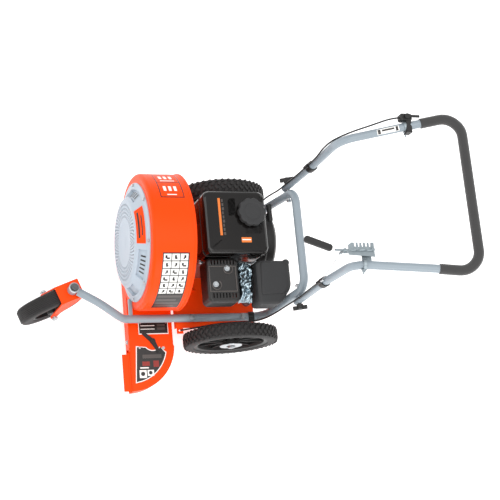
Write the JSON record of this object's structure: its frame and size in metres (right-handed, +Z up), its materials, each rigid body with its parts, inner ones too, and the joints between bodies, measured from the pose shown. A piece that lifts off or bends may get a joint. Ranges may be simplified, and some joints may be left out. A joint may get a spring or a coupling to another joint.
{
  "type": "walk-behind leaf blower",
  "caption": "Walk-behind leaf blower: engine-driven drum fan with a low side chute and deflector, on a bent-tube frame with rear wheels, a front caster and a folding handle.",
  "frame": {"origin": "on the ground under the middle of the bounding box", "axes": "+X is the machine's left, +Y its rear where the operator walks, +Z up"},
  "size_m": [0.6614, 1.1412, 0.977],
  "materials": {
    "orange_paint": "orange powder coat over sheet steel",
    "grey_paint": "light blue-grey powder coat over steel tube",
    "grey_plastic": "moulded light grey plastic, fine grain",
    "black_plastic": "moulded black plastic, fine grain",
    "charcoal_plastic": "moulded charcoal plastic, fine grain",
    "black_gloss": "gloss black",
    "black_metal": "heat-resistant black paint on pressed steel",
    "rubber_tyre": "moulded rubber with a block tread",
    "foam": "closed-cell foam tube",
    "zinc_steel": "zinc-plated steel",
    "cast_aluminium": "as-cast aluminium",
    "cast_iron": "machined cast iron",
    "cable_sheath": "vinyl cable sheath"
  },
  "bodies": {
    "base": {"rear_axle": "zinc_steel", "caster_arm": "grey_paint", "rail_left": "grey_paint", "rail_right": "grey_paint", "handle_hoop": "grey_paint", "frame_bolts": "zinc_steel", "base_plate": "orange_paint", "blower_housing": "orange_paint", "outlet_duct": "orange_paint", "housing_back": "orange_paint", "inlet_cover": "grey_plastic", "discharge_chute": "orange_paint", "crankcase": "cast_aluminium", "rocker_cover": "black_metal", "spark_plug": "black_plastic", "muffler": "black_metal", "muffler_guard": "black_metal", "carburettor": "cast_aluminium", "air_cleaner_base": "black_plastic", "air_cleaner_cover": "charcoal_plastic", "fuel_tank": "black_gloss", "fan_shroud": "black_metal", "recoil_cover": "black_metal", "flap_cable_lower": "cable_sheath", "throttle_cable_lower": "cable_sheath"},
    "wheel_left": {"tyre_left": "rubber_tyre", "rim_left": "black_plastic"},
    "wheel_right": {"tyre_right": "rubber_tyre", "rim_right": "black_plastic"},
    "caster_swivel": {"caster_fork": "orange_paint", "caster_axle": "zinc_steel", "swivel_bolt": "zinc_steel"},
    "caster_wheel": {"caster_tyre": "rubber_tyre", "caster_rim": "black_plastic"},
    "handle": {"lower_leg_left": "grey_paint", "lower_leg_right": "grey_paint", "leg_clamps": "black_plastic", "upper_handle": "grey_paint", "foam_grip": "foam", "control_quadrant": "zinc_steel", "throttle_housing": "black_plastic", "flap_cable_upper": "cable_sheath", "throttle_cable_upper": "cable_sheath"},
    "knob_left": {"wing_knob_left": "black_plastic"},
    "knob_right": {"wing_knob_right": "black_plastic"},
    "chute_control": {"control_lever": "zinc_steel", "lever_grip": "black_plastic"},
    "flap": {"deflector_flap": "orange_paint"},
    "selector": {"selector_lever": "black_metal"},
    "throttle": {"throttle_lever": "black_plastic"},
    "carburettor_arm": {"throttle_arm": "zinc_steel"},
    "rotor": {"impeller": "cast_aluminium", "crankshaft": "cast_iron"},
    "starter_pull": {"starter_grip": "black_plastic", "starter_rope": "cable_sheath"},
    "reel": {"recoil_reel": "black_plastic"},
    "choke": {"choke_lever": "zinc_steel"},
    "switch_knob": {"engine_switch": "black_plastic"},
    "tank_cap": {"fuel_cap": "charcoal_plastic"},
    "oil_cap": {"dipstick": "black_plastic"}
  },
  "joints": [
    {"name": "wheel_left_spin", "type": "hinge", "parent": "base", "child": "wheel_left", "pos_m": [0.17375, 0.09659, 0.1524], "axis": [1, 0, 0], "continuous": true},
    {"name": "wheel_right_spin", "type": "hinge", "parent": "base", "child": "wheel_right", "pos_m": [-0.29625, 0.09659, 0.1524], "axis": [1, 0, 0], "continuous": true},
    {"name": "caster_swivel", "type": "hinge", "parent": "base", "child": "caster_swivel", "pos_m": [0.02275, -0.41941, 0.226], "axis": [0, 0, 1], "continuous": true},
    {"name": "caster_wheel_spin", "type": "hinge", "parent": "caster_swivel", "child": "caster_wheel", "pos_m": [0.04327, -0.47151, 0.101], "axis": [0.9304, 0.3665, 0], "continuous": true},
    {"name": "handle_fold", "type": "hinge", "parent": "base", "child": "handle", "pos_m": [-0.06125, 0.22459, 0.449], "axis": [1, 0, 0], "range_deg": [0, 65]},
    {"name": "knob_left_turn", "type": "hinge", "parent": "base", "child": "knob_left", "pos_m": [0.13875, 0.22459, 0.449], "axis": [1, 0, 0], "continuous": true},
    {"name": "knob_right_turn", "type": "hinge", "parent": "base", "child": "knob_right", "pos_m": [-0.26125, 0.22459, 0.449], "axis": [1, 0, 0], "continuous": true},
    {"name": "chute_control_swing", "type": "hinge", "parent": "handle", "child": "chute_control", "pos_m": [0.08175, 0.19659, 0.868], "axis": [1, 0, 0], "range_deg": [-75, 0]},
    {"name": "flap_swing", "type": "hinge", "parent": "base", "child": "flap", "pos_m": [0.26325, -0.23141, 0.1152], "axis": [1, 0, 0], "range_deg": [0, 70]},
    {"name": "selector_turn", "type": "hinge", "parent": "base", "child": "selector", "pos_m": [0.16875, -0.15191, 0.115], "axis": [0, 0, 1], "range_deg": [-35, 35]},
    {"name": "throttle_lever_turn", "type": "hinge", "parent": "handle", "child": "throttle", "pos_m": [-0.29125, 0.40159, 0.94], "axis": [0, 0, 1], "range_deg": [0, 50]},
    {"name": "carburettor_arm_turn", "type": "hinge", "parent": "base", "child": "carburettor_arm", "pos_m": [0.02475, 0.11859, 0.335], "axis": [0, 0, 1], "range_deg": [0, 45]},
    {"name": "rotor_spin", "type": "hinge", "parent": "base", "child": "rotor", "pos_m": [-0.11265, -0.00341, 0.2693], "axis": [0, 1, 0], "continuous": true},
    {"name": "starter_pull", "type": "slide", "parent": "base", "child": "starter_pull", "axis": [-0.129, 0, 0.9916], "range_m": [0, 0.1]},
    {"name": "reel_spin", "type": "hinge", "parent": "base", "child": "reel", "pos_m": [-0.11265, 0.18259, 0.2693], "axis": [0, 1, 0], "range_deg": [0, 121.9]},
    {"name": "choke_turn", "type": "hinge", "parent": "base", "child": "choke", "pos_m": [0.05375, 0.13059, 0.318], "axis": [1, 0, 0], "range_deg": [-55, 0]},
    {"name": "engine_switch_turn", "type": "hinge", "parent": "base", "child": "switch_knob", "pos_m": [-0.20025, 0.18859, 0.187], "axis": [0, 1, 0], "range_deg": [0, 90]},
    {"name": "fuel_cap_lift", "type": "slide", "parent": "base", "child": "tank_cap", "axis": [0, 0, 1], "range_m": [0, 0.06]},
    {"name": "dipstick_turn", "type": "hinge", "parent": "base", "child": "oil_cap", "pos_m": [0.04779, 0.13059, 0.23135], "axis": [0.7507, 0, 0.6606], "range_deg": [0, 720]}
  ],
  "couplings": [
    {"joint": "flap_swing", "follows": "chute_control_swing", "ratio": -0.93333},
    {"joint": "carburettor_arm_turn", "follows": "throttle_lever_turn", "ratio": 0.9},
    {"joint": "reel_spin", "follows": "starter_pull", "rad_per_m": 21.276}
  ]
}
